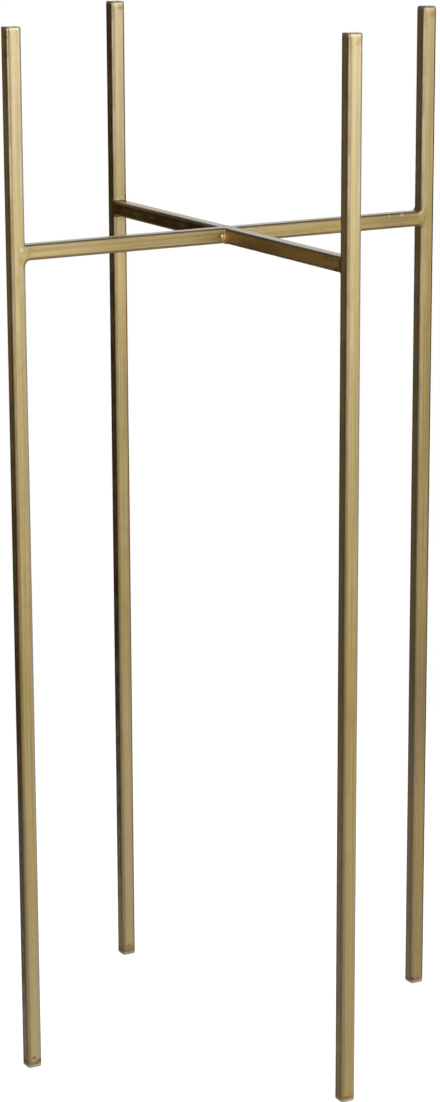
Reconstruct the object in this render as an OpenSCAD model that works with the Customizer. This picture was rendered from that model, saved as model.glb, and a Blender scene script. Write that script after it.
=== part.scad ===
// Tall welded stand for one plant pot.
// Four legs of square tube stand at the ends of two crossed bars. The pot sits on the cross,
// between the leg ends that rise above it. Everything is welded, and nothing moves.
// Millimetres. The origin is on the floor, midway between the legs. +Z is up, the long cross bar
// lies along X from the left leg to the right leg, and the front leg stands towards -Y.

/* [Stand] */
// Height from the floor to the tops of the legs
stand_h = 827; // [700:1:900]
// Distance between opposite legs, centre to centre
leg_span = 366; // [280:2:420]
// Height of the top of the crossed bars, where the pot sits
cross_top = 665; // [300:1:680]

/* [Square tube] */
// Width of the square tube
tube_w = 12; // [10:0.1:12.7]
// Wall of the tube
tube_wall = 1.2; // [0.8:0.1:1.5]
// Outside radius of the tube's long corners
tube_corner = 2.4; // [2.1:0.1:2.6]

/* [Leg ends] */
// Thickness of the plate that closes each leg's end
plate_t = 2.5; // [2.2:0.1:4]
// Radius to which the top edges are ground, at the right, back, left and front leg
top_edge = [2, 1.5, 1, 1.2]; // [0.4:0.1:2]
// Radius to which the foot edges are ground
foot_edge = 1.8; // [0.4:0.1:2]

/* [Welds] */
// Fillet on top of the bar, at the right, back, left and front leg
weld_above = [3.4, 1.6, 1.2, 1.2]; // [0.8:0.1:6]
// Fillet under the bar, at the same legs
weld_below = [2.0, 1.2, 4.2, 1.2]; // [0.8:0.1:6]
// Fillet over the grooves in the cross
weld_cross = 0.9; // [0.8:0.1:2]
// Radius of the upright weld beads in the four corners of the cross
cross_bead = 2.6; // [1.5:0.1:3]
// How far these beads hang below the bars
bead_drop = 0.6; // [0:0.1:1.5]

/* [Hidden] */

// The legs are numbered anticlockwise from +X
RIGHT = 0;
BACK = 1;
LEFT = 2;
FRONT = 3;

leg_r = leg_span / 2;
bar_reach = leg_r - tube_w / 2;
bar_z = cross_top - tube_w / 2;
paint = [0.76, 0.67, 0.48];
ground_paint = [0.80, 0.71, 0.52];
weld_paint = [0.70, 0.61, 0.42];
$fn = 48;

// Square outline with rounded corners, centred
module rounded_square(w, r) {
    square([w, w - 2 * r], center = true);
    square([w - 2 * r, w], center = true);
    for (x = [-1, 1], y = [-1, 1])
        translate([x, y] * (w / 2 - r)) circle(r);
}

// Solid length of the tube's outline, upwards from the floor of its own frame
module tube_outline(length) {
    linear_extrude(length) rounded_square(tube_w, tube_corner);
}

// Rolled square tube
module tube(length) {
    linear_extrude(length)
        difference() {
            rounded_square(tube_w, tube_corner);
            rounded_square(tube_w - 2 * tube_wall, tube_corner - tube_wall);
        }
}

// Turns what is drawn along +Z so that it runs along +X at the cross's height
module along_bar() {
    translate([0, 0, bar_z]) rotate([0, 90, 0]) children();
}

// Turns what is drawn for the right leg, on +X, to the numbered leg
module at_leg(number) {
    rotate([0, 0, 90 * number]) children();
}

module leg(number) {
    color(paint)
        at_leg(number) translate([leg_r, 0, plate_t]) tube(stand_h - 2 * plate_t);
}

// Side view of a closing plate from its middle outwards, with its upper edge ground round
module plate_side(reach, edge) {
    intersection() {
        square([reach, plate_t]);
        union() {
            square([reach, plate_t - edge]);
            square([reach - edge, plate_t]);
            translate([reach - edge, plate_t - edge]) circle(edge);
        }
    }
}

// Plate welded over a tube's open end and ground round with it: four straight sides that meet in
// the middle, and four turned corners
module closing_plate(edge) {
    straight = tube_w - 2 * tube_corner;
    color(ground_paint) {
        for (side = [0:3])
            rotate([90, 0, 90 * side])
                linear_extrude(straight, center = true) plate_side(tube_w / 2, edge);
        for (x = [-1, 1], y = [-1, 1])
            translate([x, y, 0] * straight / 2)
                rotate_extrude() plate_side(tube_corner, edge);
    }
}

module top_plate(number) {
    at_leg(number)
        translate([leg_r, 0, stand_h - plate_t]) closing_plate(top_edge[number]);
}

module foot_plate(number) {
    at_leg(number)
        translate([leg_r, 0, plate_t]) mirror([0, 0, 1]) closing_plate(foot_edge);
}

// Bar that runs through, from the left leg to the right leg
module long_cross_bar() {
    color(paint)
        along_bar() translate([0, 0, -bar_reach]) tube(2 * bar_reach);
}

// Half bar, from the long bar's side to the front or back leg
module short_cross_bar(number) {
    color(paint)
        at_leg(number) along_bar() translate([0, 0, tube_w / 2])
            tube(bar_reach - tube_w / 2);
}

// The tube's outline, swept through a quarter turn whose inside is a fillet of radius r.
// It leads from the -X end of a level bar at the origin, up into a leg that stands at +X.
module fillet_bend(r) {
    translate([-r, 0, tube_w / 2 + r])
        rotate([90, 0, 0])
            rotate([0, 0, -90])
                rotate_extrude(angle = 90)
                    translate([r + tube_w / 2, 0]) rounded_square(tube_w, tube_corner);
}

// Weld round a bar's end: the fillets over and under the bar, and the grooves beside it that the
// leg's rounded corners leave, filled and ground flush
module leg_weld(number) {
    color(weld_paint)
        at_leg(number)
            difference() {
                translate([bar_reach, 0, bar_z]) {
                    fillet_bend(weld_above[number]);
                    mirror([0, 0, 1]) fillet_bend(weld_below[number]);
                }
                translate([leg_r, 0, cross_top - 3 * tube_w]) tube_outline(5 * tube_w);
                along_bar() tube_outline(bar_reach);
            }
}

// Upright weld bead with round ends, from the floor of its own frame
module bead(r, length) {
    rotate_extrude()
        intersection() {
            square([r, length]);
            union() {
                translate([0, r]) square([r, length - 2 * r]);
                for (z = [r, length - r])
                    translate([0, z]) circle(r);
            }
        }
}

// Weld round a half bar's end: upright beads in two corners of the cross, left as they were laid,
// and the grooves over and under the long bar's rounded corners, filled and ground flush
module cross_weld(number) {
    color(weld_paint)
        at_leg(number)
            difference() {
                translate([tube_w / 2, 0, bar_z])
                    for (side = [-1, 1]) {
                        rotate([90 * side, 0, 0]) mirror([1, 0, 0]) fillet_bend(weld_cross);
                        translate([0, side, -1] * tube_w / 2 - [0, 0, bead_drop])
                            bead(cross_bead, tube_w + bead_drop);
                    }
                at_leg(BACK) along_bar()
                    translate([0, 0, -2 * tube_w]) tube_outline(4 * tube_w);
                along_bar() translate([0, 0, tube_w / 2]) tube_outline(2 * tube_w);
            }
}

leg(RIGHT);  // leg_right
leg(BACK);  // leg_back
leg(LEFT);  // leg_left
leg(FRONT);  // leg_front
top_plate(RIGHT);  // top_plate_right
top_plate(BACK);  // top_plate_back
top_plate(LEFT);  // top_plate_left
top_plate(FRONT);  // top_plate_front
foot_plate(RIGHT);  // foot_plate_right
foot_plate(BACK);  // foot_plate_back
foot_plate(LEFT);  // foot_plate_left
foot_plate(FRONT);  // foot_plate_front
long_cross_bar();
short_cross_bar(BACK);  // short_cross_bar_back
short_cross_bar(FRONT);  // short_cross_bar_front
leg_weld(RIGHT);  // leg_weld_right
leg_weld(BACK);  // leg_weld_back
leg_weld(LEFT);  // leg_weld_left
leg_weld(FRONT);  // leg_weld_front
cross_weld(BACK);  // cross_weld_back
cross_weld(FRONT);  // cross_weld_front
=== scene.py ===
import math

import bpy
from mathutils import Matrix, Vector


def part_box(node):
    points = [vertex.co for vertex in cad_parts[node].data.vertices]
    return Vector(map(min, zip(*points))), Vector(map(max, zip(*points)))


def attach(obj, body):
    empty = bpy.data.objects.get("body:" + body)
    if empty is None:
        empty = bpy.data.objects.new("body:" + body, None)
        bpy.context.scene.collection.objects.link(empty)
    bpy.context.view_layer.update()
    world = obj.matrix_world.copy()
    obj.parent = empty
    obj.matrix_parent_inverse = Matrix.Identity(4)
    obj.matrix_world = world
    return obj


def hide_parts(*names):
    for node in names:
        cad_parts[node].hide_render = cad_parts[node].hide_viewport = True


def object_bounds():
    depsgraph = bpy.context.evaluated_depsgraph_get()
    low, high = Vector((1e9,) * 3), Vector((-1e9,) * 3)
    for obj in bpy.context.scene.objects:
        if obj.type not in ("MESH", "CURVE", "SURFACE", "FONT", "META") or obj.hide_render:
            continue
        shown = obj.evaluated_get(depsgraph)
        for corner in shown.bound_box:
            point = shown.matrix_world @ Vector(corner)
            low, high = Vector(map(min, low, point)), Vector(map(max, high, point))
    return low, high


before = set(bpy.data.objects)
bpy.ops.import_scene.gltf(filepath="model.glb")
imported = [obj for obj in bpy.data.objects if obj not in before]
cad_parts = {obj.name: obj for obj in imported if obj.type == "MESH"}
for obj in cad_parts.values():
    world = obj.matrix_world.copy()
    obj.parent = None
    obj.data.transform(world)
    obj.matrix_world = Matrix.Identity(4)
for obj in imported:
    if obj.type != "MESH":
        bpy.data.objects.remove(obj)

cad_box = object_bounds()

# ---------------------------------------------------------------- the stand, read from the frame
LEGS = ("right", "back", "left", "front")
LEG_TURN = {side: math.radians(90 * number) for number, side in enumerate(LEGS)}
MM = 0.001
TUBE_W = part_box("leg_right")[1].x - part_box("leg_right")[0].x
LEG_R = (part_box("leg_right")[1].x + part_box("leg_right")[0].x) / 2
STAND_H = cad_box[1].z
CROSS_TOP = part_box("long_cross_bar")[1].z
BAR_Z = CROSS_TOP - TUBE_W / 2
BAR_REACH = LEG_R - TUBE_W / 2
TUBE_CORNER = 2.4 * MM
CORNER_FROM = TUBE_W / 2 - TUBE_CORNER

# ---------------------------------------------------------------- camera, matched to the photograph
EYE = Vector((-1.2157, -2.1382, 1.0178))
YAW, PITCH, ROLL = (math.radians(a) for a in (28.977, 15.347, -0.353))
PHOTO_H = 1102
FOCAL_PX = 3163.8
AXIS_OFF_PX = (26.3, 74.8)
SENSOR = 36.0

# ---------------------------------------------------------------- colours of new, worn and burnt paint, and of painted light and shade
GOLD = (0.470, 0.345, 0.116, 1)
GOLD_PALE = (0.590, 0.462, 0.190, 1)
GOLD_DEEP = (0.375, 0.260, 0.078, 1)
GOLD_GREEN = (0.405, 0.320, 0.096, 1)
GOLD_PINK = (0.520, 0.362, 0.160, 1)
GOLD_DARKER = (0.385, 0.268, 0.058, 1)
RUBBED_AND_HIGHLIGHT = (0.700, 0.585, 0.340, 1)
PAINTED_LIGHT_AMBER = (0.820, 0.560, 0.220, 1)
GROUND_OFF_AND_FLOOR_LIGHT = (0.680, 0.610, 0.470, 1)
SILVER_GREY = (0.640, 0.610, 0.520, 1)
BEAD_CREAM = (0.800, 0.640, 0.340, 1)
BEAD_GOLD = (0.720, 0.520, 0.190, 1)
TAN = (0.450, 0.275, 0.085, 1)
UMBER = (0.305, 0.195, 0.095, 1)
OLIVE = (0.205, 0.120, 0.026, 1)
ASH = (0.370, 0.280, 0.180, 1)
DULL = (0.250, 0.170, 0.080, 1)
DULL_GREY = (0.120, 0.095, 0.065, 1)
EDGE = (0.375, 0.252, 0.104, 1)
BROWN = (0.280, 0.130, 0.034, 1)
RUSSET = (0.400, 0.195, 0.065, 1)
RED_BROWN = (0.350, 0.125, 0.022, 1)
AMBER = (0.740, 0.400, 0.105, 1)
OCHRE = (0.560, 0.360, 0.090, 1)
STAIN_AND_SHADE = (0.190, 0.095, 0.030, 1)
GRIME_AND_SHADE = (0.070, 0.045, 0.022, 1)
WHITE = (1, 1, 1, 1)


# ---------------------------------------------------------------- node helpers
class Tree:
    """Short calls that add nodes to one node tree and give back an output socket."""

    def __init__(self, node_tree):
        self.tree = node_tree
        node_tree.nodes.clear()

    def add(self, kind, inputs=None, out=0, **settings):
        made = self.tree.nodes.new(kind)
        for key, value in settings.items():
            setattr(made, key, value)
        for key, value in (inputs or {}).items():
            if isinstance(value, bpy.types.NodeSocket):
                self.tree.links.new(value, made.inputs[key])
            else:
                made.inputs[key].default_value = value
        return made.outputs[out] if made.outputs else made

    def math(self, operation, a, b=0.0, c=0.0):
        return self.add("ShaderNodeMath", {0: a, 1: b, 2: c}, operation=operation)

    def times(self, first, *others):
        for other in others:
            first = self.math("MULTIPLY", first, other)
        return first

    def vector(self, operation, a, b=(0, 0, 0), out=0, **inputs):
        return self.add("ShaderNodeVectorMath", {0: a, 1: b, **inputs}, out=out, operation=operation)

    def scaled(self, vector, factor):
        return self.vector("SCALE", vector, Scale=factor)

    def noise(self, vector, scale, detail=2.0, roughness=0.5):
        return self.add("ShaderNodeTexNoise", {"Vector": vector, "Scale": scale, "Detail": detail,
                                               "Roughness": roughness})

    def remap(self, value, low, high, to_low=0.0, to_high=1.0):
        return self.add("ShaderNodeMapRange", {"Value": value, "From Min": low, "From Max": high,
                                               "To Min": to_low, "To Max": to_high})

    def band(self, value, centre, half_width):
        """1 where the value is at the centre, falling to 0 at half the width to each side."""
        off = self.math("ABSOLUTE", self.math("SUBTRACT", value, centre))
        return self.remap(off, 0.0, half_width, 1.0, 0.0)

    def mix(self, factor, a, b):
        return self.add("ShaderNodeMix", {0: factor, 6: a, 7: b}, out=2, data_type="RGBA")

    def mapping(self, vector, location=(0, 0, 0), scale=(1, 1, 1)):
        return self.add("ShaderNodeMapping", {"Vector": vector, "Location": location, "Scale": scale})

    def split(self, vector):
        return self.add("ShaderNodeSeparateXYZ", {0: vector}).node.outputs

    def join(self, x, y, z):
        return self.add("ShaderNodeCombineXYZ", {0: x, 1: y, 2: z})


def new_material(name):
    material = bpy.data.materials.new(name)
    material.use_nodes = True
    return material, Tree(material.node_tree)


# ---------------------------------------------------------------- finishes
def lacquered_gold(t, colour, roughness, height, relief, coat_roughness=0.25):
    """Gold metallic paint under clear lacquer: a half metallic base with a gloss skin."""
    bump = t.add("ShaderNodeBump", {"Height": height, "Strength": relief, "Distance": 0.4 * MM})
    shader = t.add("ShaderNodeBsdfPrincipled", {
        "Base Color": colour, "Metallic": 0.6, "Roughness": roughness, "Normal": bump,
        "Coat Weight": 1.0, "Coat Roughness": coat_roughness})
    t.add("ShaderNodeOutputMaterial", {"Surface": shader})


def spots(t, place, marks, colour):
    """Adds ragged marks. Each is a point, a size and a strength in millimetres, and a colour."""
    ragged = t.add("ShaderNodeTexNoise", {"Vector": place, "Scale": 900.0}, out=1)
    wander = t.scaled(t.vector("SUBTRACT", ragged, (0.5, 0.5, 0.5)), 2.0 * MM)
    for spot, size, strength, tint in marks:
        off = t.vector("SUBTRACT", t.vector("ADD", place, wander), tuple(s * MM for s in spot))
        reach = t.vector("LENGTH", t.mapping(off, scale=(1.0, 1.0, 1.5)), out=1)
        colour = t.mix(t.remap(reach, size * MM, 0.35 * size * MM, 0.0, strength), colour, tint)
    return colour


def streaked_gold(t, place, axis, deepened):
    """Gold with streaks drawn along the tube, in clouds and blotches. Gives back the streaks too."""
    draw = [560.0] * 3
    draw[axis] = 8.0
    streak = t.noise(t.mapping(place, scale=draw), 1.0, detail=4.0, roughness=0.6)
    broad = t.mapping(place, location=(0.41, 0.23, 0.37), scale=[0.6 * d for d in draw])
    tint = t.noise(broad, 1.0, detail=2.0)
    cloud = t.noise(place, 28.0, detail=3.0, roughness=0.55)
    blotch = t.noise(t.mapping(place, location=(0.31, 0.17, 0.53)), 75.0, detail=3.0)
    flake = t.noise(place, 2600.0, detail=1.0)

    colour = t.mix(t.remap(cloud, 0.38, 0.66), GOLD_GREEN, GOLD)
    colour = t.mix(deepened, colour, GOLD_DARKER)
    colour = t.mix(t.remap(tint, 0.49, 0.58, 0.0, 0.85 - 0.6 * deepened), colour, GOLD_PINK)
    colour = t.mix(t.remap(streak, 0.47, 0.64), colour, GOLD_PALE)
    colour = t.mix(t.remap(streak, 0.47, 0.34), colour, GOLD_DEEP)
    colour = t.mix(t.remap(blotch, 0.56, 0.72, 0.0, 0.55), colour, GOLD_DEEP)
    colour = t.mix(t.remap(flake, 0.35, 0.7, 0.0, 0.35 - 0.3 * deepened), colour, GOLD_PALE)
    return t.mix(0.55 * deepened, colour, GOLD_DARKER), streak


def corner_wear_light_and_shade(t, colour, place, from_middle, height, side_corner_light_and_shade):
    """Long corners darkened with painted shade that tones their highlight down, paled along their crests
    by wear together with a painted highlight that grows higher up, with a dark line of painted shade and
    a pale line of painted highlight beside them.

    The side corner colour and its amount go on the corners towards +X: a painted reflection where the
    colour is pale, painted shade where it is dark.
    """
    # painted shade over the rounded corners
    rounded = t.remap(from_middle, CORNER_FROM, CORNER_FROM + 0.5 * MM)
    colour = t.mix(t.times(rounded, 0.7), colour, EDGE)
    worn = t.remap(t.noise(t.mapping(place, location=(0.7, 0.1, 0.9)), 45.0), 0.35, 0.6, 0.3, 1.0)
    # the crests: worn paint together with a painted highlight, stronger higher up
    crest = t.remap(from_middle, TUBE_W / 2 - 1.7 * MM, TUBE_W / 2 - 1.2 * MM)
    high_up = t.remap(height, 0.45, 0.70, 0.25, 1.0)
    colour = t.mix(t.times(crest, worn, high_up), colour, RUBBED_AND_HIGHLIGHT)
    # the corners towards +X take the given colour: a painted reflection when pale, painted shade when
    # dark
    tint, amount = side_corner_light_and_shade
    facing_x = t.math("GREATER_THAN", t.split(place)[0], CORNER_FROM)
    colour = t.mix(t.times(rounded, facing_x, amount), colour, tint)
    # a dark line of painted shade on the corner, and a pale line of painted highlight beside it
    corner_line = t.band(from_middle, CORNER_FROM + 0.3 * MM, 0.5 * MM)
    colour = t.mix(t.times(corner_line, 0.35), colour, DULL)
    beside_corner = t.band(from_middle, CORNER_FROM - 0.45 * MM, 0.5 * MM)
    return t.mix(t.times(beside_corner, 0.55), colour, GOLD_PALE)


def lit_and_shaded_faces(t, colour, place, from_middle, height, faces, side_light_and_shade, red_line):
    """Faces painted brown in patches, most of all close to their corners: painted shade on sides that
    get little light, and a warm painted light on the front bar's sides.

    The brown comes with its amounts at the foot, low down and high up. The last argument is the strength
    of a red-brown line beside the corners in front.
    """
    brown, foot, low, high = side_light_and_shade
    # painted shade in brown patches on these faces, and on the front bar a warm painted light
    amount = t.remap(height, 0.02, 0.12, foot, t.remap(height, 0.14, 0.60, low, high))
    brown_line = t.band(from_middle, CORNER_FROM - 0.8 * MM, 1.3 * MM)
    patch_noise = t.noise(t.mapping(place, location=(0.9, 0.6, 0.2)), 55.0, detail=4.0)
    patchy = t.remap(patch_noise, 0.3, 0.62, 0.35, 1.0)
    near_corner_weight = t.math("MULTIPLY_ADD", brown_line, 0.5, 0.5)
    colour = t.mix(t.times(faces, near_corner_weight, patchy, amount), colour, brown)
    # a red-brown line beside the corners, on the front side only
    red_line_noise = t.noise(t.mapping(place, location=(0.6, 0.4, 0.3)), 14.0, detail=3.0)
    in_front = t.math("LESS_THAN", t.split(place)[1], 0.0)
    red_line_mask = t.times(faces, brown_line, in_front, t.remap(red_line_noise, 0.42, 0.60, 0.3, 1.0), red_line)
    return t.mix(red_line_mask, colour, RED_BROWN)


def scorched_foot(t, colour, place, height, amount):
    """Patchy brown band where the foot's closing plate was welded on."""
    burnt = t.remap(t.noise(t.mapping(place, location=(0.2, 0.8, 0.4)), 230.0, detail=3.0), 0.40, 0.58)
    return t.mix(t.times(t.band(height, 4.0 * MM, 3.0 * MM), burnt, amount), colour, BROWN)


def tube_paint(name, along, centre, deepened=0.0, side_light_and_shade=(BROWN, 0.0, 0.0, 0.0), red_line=0.0,
               lit_high_up=0.0, end_light_and_scorch=0.0, side_corner_light_and_shade=(DULL, 0.0), light_and_shade_bands=(), marks=()):
    """Painted rolled tube that runs along one axis.

    The centre is a point on its middle line. Deepened is how far its gold is made deeper all over, which
    on the right leg is painted shade. A brown with its amounts at the foot, low down and high up lays
    painted shade on its first pair of faces, except on the front bar, where it lays a warm painted
    light; a strength sets a red-brown line beside these faces' corners. The rest is for legs: how far
    these faces are painted paler high up, as painted light; how much paler the paint is at the foot, as
    a painted reflection of the white floor, and at the top, as painted light, which also sets how strong
    the brown band above the foot is; a colour and an amount of it on the corners towards +X, a painted
    reflection where pale and painted shade where dark; and bands of another colour, painted light and
    shade along the leg, each given as its middle's height, half its length, the colour and its amount.
    """
    material, t = new_material(name)
    place = t.mapping(t.add("ShaderNodeTexCoord", out=3), location=tuple(-c for c in centre))
    axis = "XYZ".index(along)
    parts = t.split(place)
    height = parts[axis]
    first, second = (t.math("ABSOLUTE", parts[n]) for n in range(3) if n != axis)
    from_middle = t.math("MINIMUM", first, second)
    flat = t.remap(from_middle, CORNER_FROM + 0.5 * MM, CORNER_FROM)
    first_faces = t.math("MULTIPLY", t.math("GREATER_THAN", first, second), flat)

    colour, streak = streaked_gold(t, place, axis, deepened)
    # painted reflection of the white floor, paler towards the foot, and painted light, paler at the top
    colour = t.mix(t.remap(height, 0.30, 0.0, 0.0, 0.9 * end_light_and_scorch), colour, GOLD_PALE)
    colour = t.mix(t.remap(height, 0.62, 0.78, 0.0, 0.25 * end_light_and_scorch), colour, RUBBED_AND_HIGHLIGHT)
    # bands of painted light and shade along the leg
    for middle, half_length, tint, amount in light_and_shade_bands:
        colour = t.mix(t.times(t.band(height, middle, half_length), amount), colour, tint)
    colour = corner_wear_light_and_shade(t, colour, place, from_middle, height, side_corner_light_and_shade)
    # painted light: these faces paler and warmer high up
    colour = t.mix(t.times(first_faces, t.remap(height, 0.38, 0.60, 0.0, lit_high_up)), colour, PAINTED_LIGHT_AMBER)
    colour = lit_and_shaded_faces(t, colour, place, from_middle, height, first_faces, side_light_and_shade, red_line)
    colour = scorched_foot(t, colour, place, height, 0.75 * end_light_and_scorch)
    speck = t.remap(t.noise(place, 420.0, detail=1.0), 0.74, 0.79)
    colour = t.mix(t.math("MULTIPLY", speck, 0.7), colour, STAIN_AND_SHADE)
    colour = spots(t, place, marks, colour)

    peel = t.noise(place, 950.0, detail=2.0)
    wave = t.noise(place, 60.0, detail=1.0)
    relief = t.math("MULTIPLY_ADD", peel, 0.25, t.math("MULTIPLY_ADD", streak, 0.35, wave))
    relief = t.math("SUBTRACT", relief, t.math("MULTIPLY", speck, 0.5))
    lacquered_gold(t, colour, t.remap(streak, 0.3, 0.7, 0.55, 0.45), relief, 0.22)
    return material


def ground_paint(name, low, high, stained):
    """Paint over closing plates that were ground round, from low to high, darkened with painted shade in
    the last millimetre above the floor.
    """
    material, t = new_material(name)
    place = t.add("ShaderNodeTexCoord", out=3)
    scratch = t.noise(t.mapping(place, scale=(240.0, 240.0, 1400.0)), 1.0, detail=2.0)
    patch = t.noise(place, 150.0, detail=2.0)
    colour = t.mix(t.remap(scratch, 0.3, 0.7, 0.3, 1.0), low, high)
    colour = t.mix(t.remap(patch, 0.52, 0.72, 0.0, stained), colour, TAN)
    # painted shade: the lowest edge darkened, as the floor under it lies in the leg's shadow
    colour = t.mix(t.remap(t.split(place)[2], 1.0 * MM, 0.3 * MM, 0.0, 0.9), colour, GRIME_AND_SHADE)
    relief = t.math("MULTIPLY_ADD", scratch, 0.2, patch)
    lacquered_gold(t, colour, t.remap(scratch, 0.3, 0.7, 0.5, 0.42), relief, 0.1)
    return material


def weld_paint(name, low, mean, high, roughness, coat_roughness, relief, over_bar=None):
    """Paint over filler metal, from its low to its high spots, with small pores.

    Over bar is its colour above the bars' tops, where that differs: a painted reflection that pales the
    filler there.
    """
    material, t = new_material(name)
    place = t.add("ShaderNodeTexCoord", out=3)
    lump = t.noise(place, 330.0, detail=3.0, roughness=0.6)
    cloud = t.noise(place, 120.0, detail=2.0)
    colour = t.mix(t.remap(cloud, 0.4, 0.65), low, mean)
    colour = t.mix(t.remap(lump, 0.48, 0.68, 0.0, 0.8), colour, high)
    if over_bar:
        above = t.remap(t.split(place)[2], CROSS_TOP - 0.3 * MM, CROSS_TOP + 0.2 * MM)
        colour = t.mix(above, colour, over_bar)
    pore = t.remap(t.noise(place, 1100.0, detail=1.0), 0.74, 0.8)
    colour = t.mix(t.math("MULTIPLY", pore, 0.75), colour, GRIME_AND_SHADE)
    height = t.math("SUBTRACT", lump, t.math("MULTIPLY", pore, 0.6))
    uneven_gloss = t.remap(lump, 0.35, 0.65, roughness, roughness - 0.08)
    lacquered_gold(t, colour, uneven_gloss, height, relief, coat_roughness)
    return material


def dress(node, material):
    """Gives a carried-over node its finish."""
    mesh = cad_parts[node].data
    mesh.materials.clear()
    mesh.materials.append(material)


# Marks on the legs, most of them near the welds: burn, rust-coloured and stain marks, pale marks that
# are rubbed paint together with painted highlights, a cream painted highlight at the left leg's joint,
# painted shade in the dark spots at the back leg's joint, and a large grey patch of painted shade around
# 250 mm up the right leg. Each is a point, a size, a strength and a colour. Points are measured from the
# leg's middle line: those with a negative height from the leg's top, and all others from the floor.
LEG_MARKS = {
    "right": [((2.2, -6.0, -7.0), 4.2, 0.6, RUSSET), ((4.0, -6.0, -5.0), 2.6, 0.6, BROWN),
              ((-2.0, -6.0, -3.0), 3.0, 0.6, RUBBED_AND_HIGHLIGHT), ((0.3, -6.0, 5.0), 3.0, 0.7, RUSSET),
              ((3.4, -6.0, 5.4), 1.8, 0.9, RUBBED_AND_HIGHLIGHT), ((-5.4, -5.0, 5.0), 3.0, 0.8, STAIN_AND_SHADE),
              ((4.0, -6.0, 2.8), 2.4, 0.7, RUBBED_AND_HIGHLIGHT), ((0.0, 0.0, 250.0), 110.0, 0.25, DULL_GREY)],
    "back": [((1.8, -6.0, -5.0), 3.2, 0.75, BROWN), ((-2.6, -6.0, -2.6), 3.0, 0.7, RUBBED_AND_HIGHLIGHT),
             ((-6.0, -2.2, -12.0), 5.0, 0.7, RUSSET), ((-0.4, -6.0, 7.6), 6.0, 0.6, RUSSET),
             ((-6.0, 2.2, 5.2), 3.2, 0.85, STAIN_AND_SHADE), ((-6.0, -3.0, 4.2), 3.0, 0.7, STAIN_AND_SHADE),
             ((5.0, -5.4, 5.0), 2.4, 0.6, STAIN_AND_SHADE), ((4.6, -6.0, 667.5), 2.0, 0.9, GRIME_AND_SHADE),
             ((0.8, -6.0, 668.0), 3.0, 0.5, RUBBED_AND_HIGHLIGHT)],
    "left": [((-1.0, -6.0, 8.6), 3.0, 0.75, BROWN), ((-0.2, -6.0, 5.6), 2.4, 0.5, OCHRE),
             ((3.7, -5.8, 5.8), 3.0, 0.9, STAIN_AND_SHADE), ((1.5, -6.0, 4.2), 2.2, 0.7, BROWN),
             ((-6.0, 2.0, 5.2), 3.4, 0.9, STAIN_AND_SHADE), ((-6.0, -2.6, 5.0), 2.8, 0.8, STAIN_AND_SHADE),
             ((-6.0, -2.8, -7.0), 4.0, 0.8, RUSSET), ((-6.0, -1.2, -20.0), 7.0, 0.6, RUSSET),
             ((3.0, -6.0, 661.5), 2.6, 0.8, BEAD_CREAM)],
    "front": [((3.8, -6.0, -3.6), 3.2, 0.55, TAN), ((2.4, -6.0, -6.0), 2.6, 0.6, RUSSET),
              ((0.8, -6.0, -7.8), 2.6, 0.5, RUSSET), ((0.2, -6.0, 8.0), 5.6, 0.6, OCHRE),
              ((2.6, -6.0, 5.6), 3.0, 0.5, OCHRE), ((-2.6, -6.0, 4.4), 2.4, 0.6, BROWN)],
}

# How each leg's and bar's paint is toned: a deeper gold, red-brown lines beside corners, a brown band
# above the foot, and painted light and shade on its sides, corners, ends and in bands along it
LEG_PAINT_AND_LIGHT = {
    # the right leg gets less light: its deeper gold and dark grey corners are painted shade
    "right": {
        "deepened": 0.2, "side_light_and_shade": (ASH, 1.5, 1.1, 1.2), "red_line": 0.8, "lit_high_up": 0.3, "end_light_and_scorch": 0.7,
        "side_corner_light_and_shade": (DULL_GREY, 1.0), "light_and_shade_bands": [(0.05, 0.24, TAN, 0.4)]},
    "back": {
        "side_light_and_shade": (STAIN_AND_SHADE, 0.5, 2.2, 1.7), "red_line": 0.7, "end_light_and_scorch": 1.1, "side_corner_light_and_shade": (DULL, 0.3),
        "light_and_shade_bands": [(0.08, 0.24, RUBBED_AND_HIGHLIGHT, 0.4), (0.61, 0.10, BEAD_GOLD, 0.6)]},
    "left": {
        "side_light_and_shade": (OLIVE, 1.0, 3.0, 0.75), "red_line": 1.0, "lit_high_up": 1.0, "end_light_and_scorch": 1.0,
        "side_corner_light_and_shade": (SILVER_GREY, 0.8),
        "light_and_shade_bands": [(0.37, 0.20, GOLD_DARKER, 0.25), (0.02, 0.12, RUBBED_AND_HIGHLIGHT, 0.4)]},
    "front": {
        "side_light_and_shade": (UMBER, 1.6, 1.2, 1.1), "red_line": 0.8, "lit_high_up": 0.3, "end_light_and_scorch": 0.9,
        "side_corner_light_and_shade": (SILVER_GREY, 0.8),
        "light_and_shade_bands": [(0.37, 0.20, GOLD_DARKER, 0.25), (0.06, 0.20, GOLD_DEEP, 0.3)]},
}
LONG_BAR_TONE = {"deepened": 1.0}
BACK_BAR_PAINT_AND_SHADE = {"deepened": 0.5, "side_light_and_shade": (STAIN_AND_SHADE, 2.1, 2.1, 2.1)}
FRONT_BAR_PAINT_AND_LIGHT = {"deepened": 0.3, "side_light_and_shade": (AMBER, 1.3, 1.3, 1.3), "red_line": 0.5}

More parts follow.
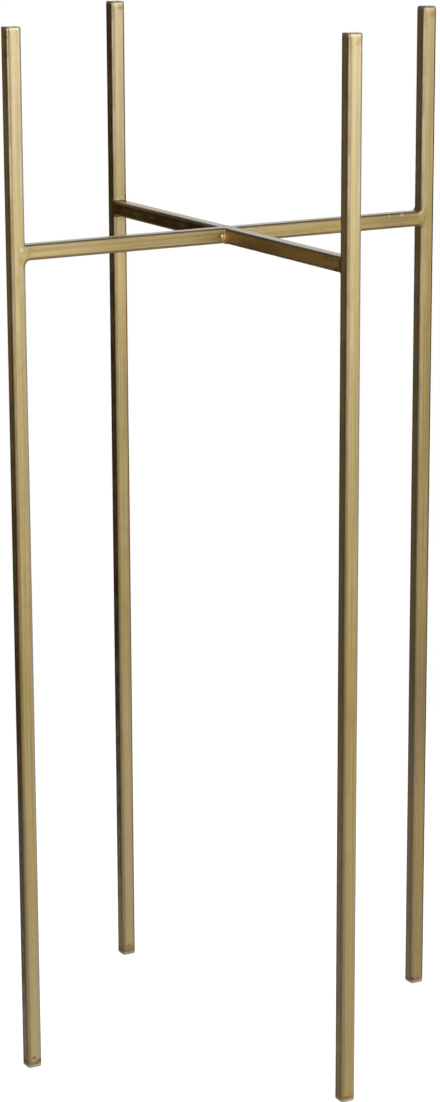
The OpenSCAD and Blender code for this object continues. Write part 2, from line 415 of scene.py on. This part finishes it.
# Marks on the bars, measured from the middle of the cross: brown and amber patches, dark spots of
# painted shade in the corners at the cross and at the lower edge of the front bar's end, and pale spots
# on the long bar's top edge that are rubbed paint together with painted highlights
LONG_BAR_MARKS = [((-9.0, -6.0, 0.0), 3.2, 0.8, BROWN), ((10.0, 5.5, 6.0), 3.0, 0.9, STAIN_AND_SHADE),
                  ((152.0, -6.0, 1.0), 22.0, 0.4, DULL), ((158.0, -6.0, 4.8), 2.4, 0.8, RUBBED_AND_HIGHLIGHT),
                  ((146.0, -6.0, 4.8), 2.0, 0.8, RUBBED_AND_HIGHLIGHT)]
FRONT_BAR_MARKS = [((-6.0, -54.0, -1.0), 52.0, 0.5, BROWN), ((-6.0, -10.0, 1.0), 7.0, 0.8, AMBER),
                   ((-6.0, -172.5, -4.6), 3.8, 0.95, GRIME_AND_SHADE), ((-6.0, -166.0, 2.0), 2.4, 0.6, BROWN),
                   ((-6.0, -158.0, 3.0), 4.0, 0.5, STAIN_AND_SHADE)]


def dress_carried_over_nodes():
    tops = ground_paint("ground_top_paint", GOLD_PALE, RUBBED_AND_HIGHLIGHT, 0.2)
    # the feet are painted pale: ground-off paint together with a painted reflection of the white floor
    feet = ground_paint("ground_foot_paint_and_floor_light", RUBBED_AND_HIGHLIGHT, GROUND_OFF_AND_FLOOR_LIGHT, 0.5)
    for side in LEGS:
        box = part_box("leg_" + side)
        centre = ((box[0].x + box[1].x) / 2, (box[0].y + box[1].y) / 2, 0.0)
        marks = [((x, y, h % (STAND_H / MM)), *rest) for (x, y, h), *rest in LEG_MARKS[side]]
        painted = tube_paint("leg_paint_" + side, "Z", centre, marks=marks, **LEG_PAINT_AND_LIGHT[side])
        dress("leg_" + side, painted)
        dress("top_plate_" + side, tops)
        dress("foot_plate_" + side, feet)
    middle = (0.0, 0.0, BAR_Z)
    dress("long_cross_bar",
          tube_paint("long_bar_paint", "X", middle, marks=LONG_BAR_MARKS, **LONG_BAR_TONE))
    dress("short_cross_bar_back", tube_paint("back_bar_paint", "Y", middle, **BACK_BAR_PAINT_AND_SHADE))
    dress("short_cross_bar_front",
          tube_paint("front_bar_paint", "Y", middle, marks=FRONT_BAR_MARKS, **FRONT_BAR_PAINT_AND_LIGHT))


dress_carried_over_nodes()


# ---------------------------------------------------------------- welds
RIPPLE_STEP = 1.1 * MM
# Fillets over and under each bar's end, in millimetres, as the solids have them
FILLET_OVER = {"right": 3.4, "back": 1.6, "left": 1.2, "front": 1.2}
FILLET_UNDER = {"right": 2.0, "back": 1.2, "left": 4.2, "front": 1.2}
CORNER_FILLET = 0.9
UPSIDE_DOWN = Matrix.Scale(-1, 4, (0, 0, 1))
INWARD = Matrix.Scale(-1, 4, (1, 0, 0))


def named_inputs(tree, wanted):
    """Adds float inputs to a geometry tree, and gives back their identifiers and sockets."""
    tree.interface.new_socket("Geometry", in_out="OUTPUT", socket_type="NodeSocketGeometry")
    for name in wanted:
        tree.interface.new_socket(name, in_out="INPUT", socket_type="NodeSocketFloat")
    keys = {item.name: item.identifier for item in tree.interface.items_tree if item.in_out == "INPUT"}
    entry = tree.nodes.new("NodeGroupInput")
    return keys, {name: entry.outputs[name] for name in wanted}


def bar_outline(t, width, corner, points):
    """The tube's rounded square outline as a closed curve."""
    square = t.add("GeometryNodeCurvePrimitiveQuadrilateral", {"Width": width, "Height": width})
    rounded = t.add("GeometryNodeFilletCurve", {"Curve": square, "Radius": corner, "Count": 6},
                    mode="POLY")
    return t.add("GeometryNodeResampleCurve", {"Curve": rounded, "Count": points})


def uneven(t, where, seed, fine, coarse):
    """Noise from -1 to 1 that a welder's hand would leave, from a coarse and a fine part."""
    point = t.vector("ADD", where, t.join(seed, t.math("MULTIPLY", seed, 1.7), 0.0))
    low = t.remap(t.noise(point, coarse, detail=1.0), 0.25, 0.75, -1.0, 1.0)
    high = t.remap(t.noise(point, fine, detail=2.0), 0.25, 0.75, -1.0, 1.0)
    return t.math("MULTIPLY_ADD", high, 0.35, low)


def fillet_tree():
    """Filler that turns from a bar's end into a leg: the tube's outline swept round a quarter turn.

    The bar comes along +X and ends at the origin, the leg stands beyond it, and the turn goes up.
    The filler stands proud near the seam and sinks into the tubes further out.
    """
    tree = bpy.data.node_groups.new("seam_fillet", "GeometryNodeTree")
    t = Tree(tree)
    keys, size = named_inputs(tree, ("Width", "Corner", "Fillet", "Proud", "Spread", "Seed"))
    half = t.math("MULTIPLY", size["Width"], 0.5)
    radius = t.math("ADD", size["Fillet"], half)
    arc = t.add("GeometryNodeCurveArc", {"Resolution": 28, "Radius": radius, "Start Angle": -math.pi / 2,
                                         "Sweep Angle": math.pi / 2})
    upright = t.add("GeometryNodeTransform", {
        "Geometry": arc, "Rotation": (math.pi / 2, 0, 0),
        "Translation": t.join(t.math("MULTIPLY", size["Fillet"], -1.0), 0.0, radius)})
    outline = bar_outline(t, size["Width"], size["Corner"], 72)
    sweep = t.add("GeometryNodeCurveToMesh", {
        "Curve": upright, "Profile Curve": outline, "Fill Caps": True})
    where = t.add("GeometryNodeInputPosition")
    parts = t.split(where)
    above = t.math("MAXIMUM", t.math("SUBTRACT", t.math("ABSOLUTE", parts[2]), half), 0.0)
    beside = t.math("ABSOLUTE", t.math("SUBTRACT", parts[0], 1.0 * MM))
    reach = t.vector("LENGTH", t.join(beside, 0.0, above), out=1)
    rough = uneven(t, where, size["Seed"], 900.0, 260.0)
    reach = t.math("MULTIPLY_ADD", rough, 0.4 * MM, t.math("SUBTRACT", reach, size["Fillet"]))
    lift = t.add("ShaderNodeMapRange", {
        "Value": reach, "From Min": 0.0, "From Max": size["Spread"], "To Min": size["Proud"],
        "To Max": -0.05 * MM})
    lift = t.math("MULTIPLY_ADD", rough, 0.02 * MM, lift)
    out = t.scaled(t.add("GeometryNodeInputNormal"), lift)
    relief = t.add("GeometryNodeSetPosition", {"Geometry": sweep, "Offset": out})
    smooth = t.add("GeometryNodeSetShadeSmooth", {"Geometry": relief, "Shade Smooth": True})
    return tree, t, keys, smooth


def bead_tree():
    """A weld bead that goes once round a bar's end, thicker on some sides, with ripples along it.

    The bar comes along +X and ends at the origin, against a face that stands across X. The bead
    thins out towards the bar's upper side, and changes to its lower thickness under the bar.
    """
    tree = bpy.data.node_groups.new("seam_bead", "GeometryNodeTree")
    t = Tree(tree)
    keys, size = named_inputs(tree, ("Width", "Corner", "Sides", "Over", "Under", "Ripple", "Seed"))
    outline = bar_outline(t, size["Width"], size["Corner"], 160)
    ring = t.add("GeometryNodeTransform", {
        "Geometry": outline, "Rotation": (math.pi / 2, 0, math.pi / 2)})
    where = t.add("GeometryNodeInputPosition")
    level = t.math("DIVIDE", t.split(where)[2], size["Width"])
    thick = t.add("ShaderNodeMapRange", {"Value": level, "From Min": 0.1, "From Max": 0.5,
                                         "To Min": size["Sides"], "To Max": size["Over"]})
    thick = t.add("ShaderNodeMapRange", {"Value": level, "From Min": -0.2, "From Max": -0.5,
                                         "To Min": thick, "To Max": size["Under"]})
    run = t.add("GeometryNodeSplineParameter", out=1)
    ripple = t.math("SINE", t.math("MULTIPLY", run, 2 * math.pi / RIPPLE_STEP))
    rough = uneven(t, where, size["Seed"], 800.0, 240.0)
    swell = t.math("MULTIPLY_ADD", ripple, size["Ripple"], t.math("MULTIPLY", rough, 0.05))
    radius = t.math("MULTIPLY", thick, t.math("ADD", swell, 1.0))
    circle = t.add("GeometryNodeCurvePrimitiveCircle", {"Resolution": 24, "Radius": 1.0})
    sweep = t.add("GeometryNodeCurveToMesh", {"Curve": ring, "Profile Curve": circle, "Scale": radius})
    smooth = t.add("GeometryNodeSetShadeSmooth", {"Geometry": sweep, "Shade Smooth": True})
    return tree, t, keys, smooth


def finish_tree(made, material):
    """Ends a geometry tree with plain mesh in one material."""
    tree, t, keys, shape = made
    real = t.add("GeometryNodeRealizeInstances", {"Geometry": shape})
    painted = t.add("GeometryNodeSetMaterial", {"Geometry": real, "Material": material})
    leave = tree.nodes.new("NodeGroupOutput")
    tree.links.new(painted, leave.inputs[0])
    return tree, keys


def grow(tree, keys, sizes, turn):
    """Runs a geometry tree with these sizes and gives back its mesh, turned into place."""
    holder = bpy.data.objects.new("seam", bpy.data.meshes.new("seam"))
    bpy.context.scene.collection.objects.link(holder)
    grower = holder.modifiers.new("grow", "NODES")
    grower.node_group = tree
    for name, value in sizes.items():
        grower[keys[name]] = float(value)
    view = bpy.context.evaluated_depsgraph_get()
    mesh = bpy.data.meshes.new_from_object(holder.evaluated_get(view), depsgraph=view)
    bpy.data.objects.remove(holder)
    mesh.transform(turn)
    if turn.determinant() < 0:
        mesh.flip_normals()
    return mesh


def one_piece(name, meshes, node):
    """Joins meshes into one piece that stands for a CAD node."""
    points, faces, paints = [], [], []
    joined = bpy.data.meshes.new(name)
    for mesh in meshes:
        first = len(points)
        points += [tuple(v.co) for v in mesh.vertices]
        faces += [tuple(first + i for i in f.vertices) for f in mesh.polygons]
        if mesh.materials[0].name not in joined.materials:
            joined.materials.append(mesh.materials[0])
        paints += [joined.materials.find(mesh.materials[0].name)] * len(mesh.polygons)
    joined.from_pydata(points, [], faces)
    joined.polygons.foreach_set("material_index", paints)
    joined.shade_smooth()
    piece = bpy.data.objects.new(name, joined)
    bpy.context.scene.collection.objects.link(piece)
    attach(piece, "root")
    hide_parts(node)
    return piece


def leg_weld_pieces(tube, seam_paints):
    """The filled seams between the bars and the legs."""
    for number, side in enumerate(LEGS):
        tree, keys = finish_tree(fillet_tree(), seam_paints[side])
        there = Matrix.Rotation(LEG_TURN[side], 4, "Z") @ Matrix.Translation((BAR_REACH, 0, BAR_Z))
        over = {**tube, "Fillet": FILLET_OVER[side] * MM, "Seed": number}
        under = {**tube, "Fillet": FILLET_UNDER[side] * MM, "Seed": number + 0.5}
        meshes = [grow(tree, keys, over, there), grow(tree, keys, under, there @ UPSIDE_DOWN)]
        one_piece("filled_seam_" + side, meshes, "leg_weld_" + side)


def cross_weld_pieces(tube, seam_paint, bead_paint):
    """The filled grooves over and under the cross, and the beads in its corners."""
    fillet, fillet_keys = finish_tree(fillet_tree(), seam_paint)
    bead, bead_keys = finish_tree(bead_tree(), bead_paint)
    for number, side in enumerate(("back", "front")):
        there = Matrix.Rotation(LEG_TURN[side], 4, "Z") @ Matrix.Translation((TUBE_W / 2, 0, BAR_Z))
        meshes = []
        for i, degrees in enumerate((-90, 90)):
            turn = there @ Matrix.Rotation(math.radians(degrees), 4, "X") @ INWARD
            groove = {**tube, "Fillet": CORNER_FILLET * MM, "Seed": 5 + number + i / 3}
            meshes.append(grow(fillet, fillet_keys, groove, turn))
        ring = {"Width": TUBE_W, "Corner": TUBE_CORNER, "Sides": 2.8 * MM, "Over": 0.2 * MM,
                "Under": 0.5 * MM, "Ripple": 0.02, "Seed": 9 + number}
        meshes.append(grow(bead, bead_keys, ring, there))
        one_piece("cross_bead_" + side, meshes, "cross_weld_" + side)


def weld_pieces():
    ground = weld_paint("weld_paint", GOLD_DEEP, GOLD, GOLD, 0.5, 0.25, 0.22)
    # the brown seam paints are painted shade that matches the bars' shaded sides, and the second is also
    # paler above the bars' tops, as a painted reflection
    shaded_seam_paint = weld_paint("shaded_weld_paint", BROWN, GOLD_DEEP, STAIN_AND_SHADE, 0.5, 0.25, 0.22)
    shaded_seam_paint_pale_on_top = weld_paint("shaded_weld_paint_pale_on_top", BROWN, GOLD_DEEP, STAIN_AND_SHADE, 0.5, 0.25, 0.22,
                               over_bar=GOLD_PALE)
    # the bead's pale cream is partly a painted highlight
    highlit_bead_paint = weld_paint("bead_paint", BEAD_GOLD, BEAD_GOLD, BEAD_CREAM, 0.30, 0.12, 0.06)
    tube = {"Width": TUBE_W, "Corner": TUBE_CORNER, "Proud": 0.02 * MM, "Spread": 2.2 * MM}
    seam_paints = {"right": ground, "back": shaded_seam_paint_pale_on_top, "left": ground, "front": shaded_seam_paint}
    leg_weld_pieces(tube, seam_paints)
    cross_weld_pieces(tube, ground, highlit_bead_paint)


weld_pieces()


# ---------------------------------------------------------------- studio
SHEET_R = 0.75
FAR_FLOOR = 30.0
FLOOR_Z = -0.2 * MM
PAPER = (0.72, 0.72, 0.72, 1)
FAR_PAPER = (0.03, 0.03, 0.03, 1)
ROOM = (0.016, 0.014, 0.013, 1)
DIM_WALL = (0.110, 0.085, 0.070, 1)
SIDE_WALL = (0.300, 0.330, 0.350, 1)
LAMP_DISTANCE = 1.8


def towards(azimuth, elevation):
    """Unit vector. Azimuth 0 is the viewer's side, -Y, and it turns towards +X."""
    a, e = math.radians(azimuth), math.radians(elevation)
    return Vector((math.sin(a) * math.cos(e), -math.cos(a) * math.cos(e), math.sin(e)))


def paper_floor():
    """White paper under the stand that takes its shadow. Further out only the eye sees it white."""
    material, t = new_material("floor_paper")
    away = t.vector("LENGTH", t.add("ShaderNodeTexCoord", out=3), out=1)
    near = t.remap(away, SHEET_R, SHEET_R * 1.2, 1.0, 0.0)
    paper = t.add("ShaderNodeBsdfDiffuse", {"Color": t.mix(near, FAR_PAPER, PAPER)})
    seen = t.add("ShaderNodeLightPath").node.outputs["Is Camera Ray"]
    glow = t.math("MULTIPLY", seen, t.remap(near, 0.0, 1.0, 1.0, 0.93))
    shine = t.add("ShaderNodeEmission", {"Color": WHITE, "Strength": glow})
    t.add("ShaderNodeOutputMaterial", {"Surface": t.add("ShaderNodeAddShader", {0: paper, 1: shine})})
    mesh = bpy.data.meshes.new("floor")
    h = FAR_FLOOR
    corners = [(-h, -h, FLOOR_Z), (h, -h, FLOOR_Z), (h, h, FLOOR_Z), (-h, h, FLOOR_Z)]
    mesh.from_pydata(corners, [], [(0, 1, 2, 3)])
    mesh.materials.append(material)
    floor = bpy.data.objects.new("floor", mesh)
    bpy.context.scene.collection.objects.link(floor)


def studio_world():
    """White to the eye, a dim room to the paint, and a white backdrop that only its gloss mirrors."""
    world = bpy.data.worlds.new("studio")
    bpy.context.scene.world = world
    world.use_nodes = True
    t = Tree(world.node_tree)
    direction = t.add("ShaderNodeTexCoord", out=0)

    def disc(azimuth, elevation, inner, outer):
        facing = t.vector("DOT_PRODUCT", direction, tuple(towards(azimuth, elevation)), out=1)
        return t.remap(facing, math.cos(math.radians(outer)), math.cos(math.radians(inner)))

    light_path = t.add("ShaderNodeLightPath").node.outputs
    room = t.mix(disc(-151, 5, 10, 22), ROOM, DIM_WALL)
    room = t.mix(disc(105, 5, 20, 45), room, SIDE_WALL)
    mirrored = t.math("MULTIPLY", light_path["Is Glossy Ray"], disc(151, 10, 14, 20))
    white = t.math("MAXIMUM", light_path["Is Camera Ray"], mirrored)
    t.add("ShaderNodeOutputWorld", {
        "Surface": t.add("ShaderNodeBackground", {"Color": t.mix(white, room, WHITE), "Strength": 1.0})})


def softbox(name, azimuth, elevation, size, power, aim_height):
    """Soft lamp that stands off from the stand's middle line and points at it."""
    lamp = bpy.data.lights.new(name, "AREA")
    lamp.shape = "RECTANGLE"
    lamp.size, lamp.size_y = size
    lamp.energy = power
    holder = bpy.data.objects.new(name, lamp)
    bpy.context.scene.collection.objects.link(holder)
    out = towards(azimuth, elevation)
    holder.location = Vector((0, 0, aim_height)) + out * LAMP_DISTANCE
    holder.rotation_euler = (-out).to_track_quat("-Z", "Y").to_euler()


def photo_camera():
    camera = bpy.data.objects.new("camera", bpy.data.cameras.new("camera"))
    bpy.context.scene.collection.objects.link(camera)
    bpy.context.scene.camera = camera
    ahead = Vector((math.sin(YAW) * math.cos(PITCH), math.cos(YAW) * math.cos(PITCH), -math.sin(PITCH)))
    level = Vector((math.cos(YAW), -math.sin(YAW), 0))
    upright = level.cross(ahead)
    right = math.cos(ROLL) * level + math.sin(ROLL) * upright
    up = math.cos(ROLL) * upright - math.sin(ROLL) * level
    turn = Matrix((right, up, -ahead)).transposed()
    camera.matrix_world = Matrix.Translation(EYE) @ turn.to_4x4()
    lens = camera.data
    lens.sensor_width = SENSOR
    lens.lens = SENSOR * FOCAL_PX / PHOTO_H
    lens.shift_x, lens.shift_y = (off / PHOTO_H for off in AXIS_OFF_PX)
    lens.clip_start, lens.clip_end = 0.05, 100.0


paper_floor()
studio_world()
softbox("front_softbox", azimuth=5, elevation=0, size=(1.8, 1.2), power=11, aim_height=0.7)
softbox("right_softbox", azimuth=25, elevation=0, size=(0.8, 0.8), power=4.2, aim_height=0.85)
softbox("left_softbox", azimuth=-70, elevation=0, size=(0.7, 0.5), power=7.6, aim_height=0.75)
softbox("high_softbox", azimuth=10, elevation=38, size=(1.2, 0.6), power=8.2, aim_height=0.5)
softbox("low_softbox", azimuth=5, elevation=0, size=(1.4, 0.3), power=5.0, aim_height=0.18)
softbox("back_softbox", azimuth=140, elevation=-8, size=(0.8, 0.5), power=5.0, aim_height=0.6)
photo_camera()
bpy.context.scene.view_settings.view_transform = "Standard"
